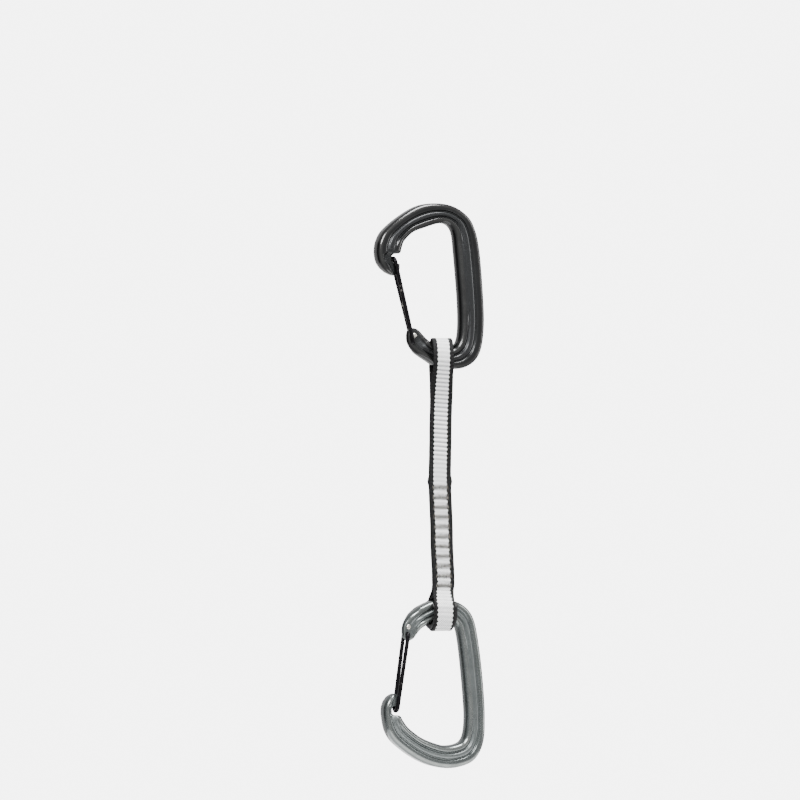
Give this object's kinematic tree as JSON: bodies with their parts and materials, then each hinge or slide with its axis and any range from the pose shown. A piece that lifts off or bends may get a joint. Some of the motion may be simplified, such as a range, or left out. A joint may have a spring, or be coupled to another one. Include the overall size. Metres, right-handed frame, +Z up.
{
  "type": "climbing quickdraw",
  "caption": "Climbing quickdraw: a black and a grey wire-gate carabiner joined by a sewn tape sling, with a rubber keeper in the lower eye.",
  "frame": {"origin": "inside top of the upper carabiner's basket, where the quickdraw hangs", "axes": "+Z up along the hanging quickdraw, carabiners in the XZ plane with both gates on the -X side, +Y through the carabiners"},
  "size_m": [0.0651, 0.0184, 0.3108],
  "materials": {
    "upper_frame": "black anodised forging, satin with a blasted web",
    "lower_frame": "grey anodised forging, satin with a blasted web",
    "gate_wire": "dark coated spring steel wire, bright where it is peened",
    "sling_tape": "narrow woven tape, white with black edges",
    "tack_thread": "grey-brown zig-zag stitching",
    "keeper_rubber": "smooth black moulded rubber"
  },
  "bodies": {
    "upper_carabiner": {"upper_carabiner_body": "upper_frame", "upper_gate_wire_anchor": "gate_wire"},
    "upper_gate": {"upper_gate_wire": "gate_wire"},
    "sling": {"sling_upper_eye": "sling_tape", "sling_lower_eye": "sling_tape", "sling_front_layer": "sling_tape", "sling_back_layer": "sling_tape", "sling_lapped_end": "sling_tape", "bar_tacks": "tack_thread", "rubber_keeper": "keeper_rubber"},
    "lower_carabiner": {"lower_carabiner_body": "lower_frame", "lower_gate_wire_anchor": "gate_wire"},
    "lower_gate": {"lower_gate_wire": "gate_wire"}
  },
  "joints": [
    {"name": "upper_gate_hinge", "type": "hinge", "parent": "upper_carabiner", "child": "upper_gate", "pos_m": [-0.017, 0, -0.0618], "axis": [0, 1, 0], "range_deg": [0, 35], "stiffness_Nm_per_rad": 0.35, "springref_deg": -14.32},
    {"name": "sling_swing", "type": "hinge", "parent": "upper_carabiner", "child": "sling", "pos_m": [0, 0, -0.0732], "axis": [1, 0, 0], "range_deg": [-130, 130]},
    {"name": "lower_carabiner_swing", "type": "hinge", "parent": "sling", "child": "lower_carabiner", "pos_m": [0, 0, -0.2134], "axis": [1, 0, 0], "range_deg": [-130, 130]},
    {"name": "lower_gate_hinge", "type": "hinge", "parent": "lower_carabiner", "child": "lower_gate", "pos_m": [-0.0213, 0, -0.2255], "axis": [0, -1, 0], "range_deg": [0, 35], "stiffness_Nm_per_rad": 0.35, "springref_deg": -14.32}
  ]
}
